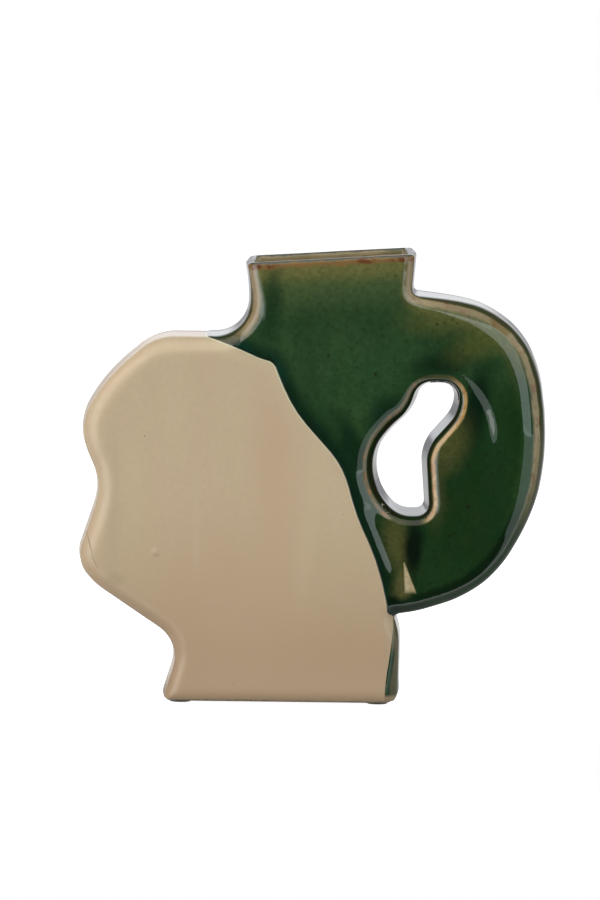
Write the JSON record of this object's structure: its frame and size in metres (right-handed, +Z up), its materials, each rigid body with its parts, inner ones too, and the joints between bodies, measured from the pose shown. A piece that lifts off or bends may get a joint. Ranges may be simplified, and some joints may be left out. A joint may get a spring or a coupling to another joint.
{
  "type": "stoneware vase",
  "caption": "Flat hollow stoneware vase with a slot mouth, a hollow side loop with a through hole, and a two-colour glossy glaze.",
  "frame": {"origin": "on the table under the middle of the vase, at the underside of the foot pads", "axes": "+X along the width towards the loop, +Y from the front face to the back face, +Z up through the mouth"},
  "size_m": [0.2497, 0.06, 0.2423],
  "materials": {
    "stoneware_clay": "matt bare fired clay",
    "cream_glaze": "glossy",
    "green_glaze": "glossy, breaking to brown on the edges",
    "inside_glaze": "glossy",
    "foot_pad": "satin, slightly translucent"
  },
  "bodies": {
    "root": {"stoneware_body": "stoneware_clay", "cream_glaze": "cream_glaze", "green_glaze": "green_glaze", "liner_glaze": "inside_glaze", "foot_pad_front_left": "foot_pad", "foot_pad_front_right": "foot_pad", "foot_pad_back_left": "foot_pad", "foot_pad_back_right": "foot_pad"}
  },
  "joints": []
}
